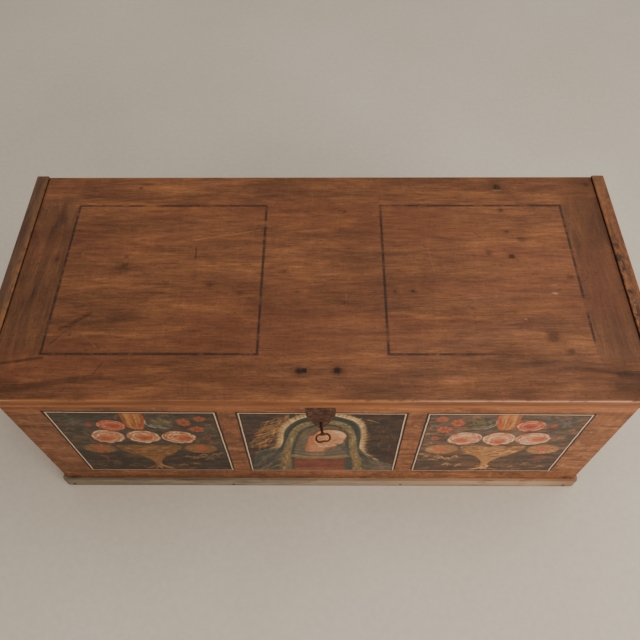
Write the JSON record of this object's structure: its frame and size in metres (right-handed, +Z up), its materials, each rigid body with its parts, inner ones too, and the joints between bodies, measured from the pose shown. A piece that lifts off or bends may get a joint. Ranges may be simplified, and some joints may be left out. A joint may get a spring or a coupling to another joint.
{
  "type": "trunk",
  "caption": "Low oblong painted wooden chest with a flat hinged lid, end battens, a base moulding, an iron escutcheon and a lock with its key.",
  "frame": {"origin": "centre of the body's footprint on the floor", "axes": "+X along the width to the viewer's right, +Y from the front to the back, +Z up"},
  "size_m": [1.4, 0.6594, 0.4992],
  "materials": {
    "lid_wood": "worn painted graining",
    "batten_wood": "worn dark paint",
    "front_wood": "worn painted graining with painted panels",
    "wall_wood": "worn painted graining",
    "moulding_wood": "worn grey-green paint",
    "raw_wood": "bare aged softwood",
    "forged_iron": "forged, darkened",
    "painted_iron": "forged iron under worn brown paint",
    "key_iron": "forged, handled smooth"
  },
  "bodies": {
    "chest": {"back_leaf_left": "forged_iron", "back_leaf_right": "forged_iron", "back_plank_lower": "wall_wood", "back_plank_upper": "wall_wood", "bolt_spring": "forged_iron", "bottom_board_back": "raw_wood", "bottom_board_front": "raw_wood", "bottom_board_middle": "raw_wood", "bottom_nails": "forged_iron", "escutcheon": "painted_iron", "escutcheon_nails": "painted_iron", "front_plank_lower": "front_wood", "front_plank_upper": "front_wood", "hinge_pins": "forged_iron", "key_guard": "forged_iron", "leaf_nails": "forged_iron", "left_plank_lower": "wall_wood", "left_plank_upper": "wall_wood", "lock_guides": "forged_iron", "lock_nails": "forged_iron", "lock_plate": "forged_iron", "moulding_front": "moulding_wood", "moulding_left": "moulding_wood", "moulding_nails": "forged_iron", "moulding_right": "moulding_wood", "right_plank_lower": "wall_wood", "right_plank_upper": "wall_wood", "spring_post": "forged_iron", "till_floor": "raw_wood", "till_wall": "raw_wood"},
    "lid": {"batten_left": "batten_wood", "batten_pegs": "batten_wood", "batten_right": "batten_wood", "catch_nails": "forged_iron", "catch_plate": "forged_iron", "catch_staple": "forged_iron", "lid_plank_back": "lid_wood", "lid_plank_front": "lid_wood", "lid_plank_middle": "lid_wood", "lid_strap_left": "forged_iron", "lid_strap_right": "forged_iron", "strap_nails": "forged_iron"},
    "key": {"key": "key_iron"},
    "bolt": {"bolt": "forged_iron"}
  },
  "joints": [
    {"name": "lid_hinge", "type": "hinge", "parent": "chest", "child": "lid", "pos_m": [0, 0.3059, 0.4575], "axis": [-1, 0, 0], "range_deg": [0, 100]},
    {"name": "key_turn", "type": "hinge", "parent": "chest", "child": "key", "pos_m": [0.006, -0.3, 0.373], "axis": [0, 1, 0], "range_deg": [0, 180]},
    {"name": "bolt_slide", "type": "slide", "parent": "chest", "child": "bolt", "axis": [1, 0, 0], "range_m": [0, 0.014]}
  ],
  "couplings": [
    {"joint": "key_turn", "follows": "bolt_slide", "rad_per_m": 224.4}
  ]
}
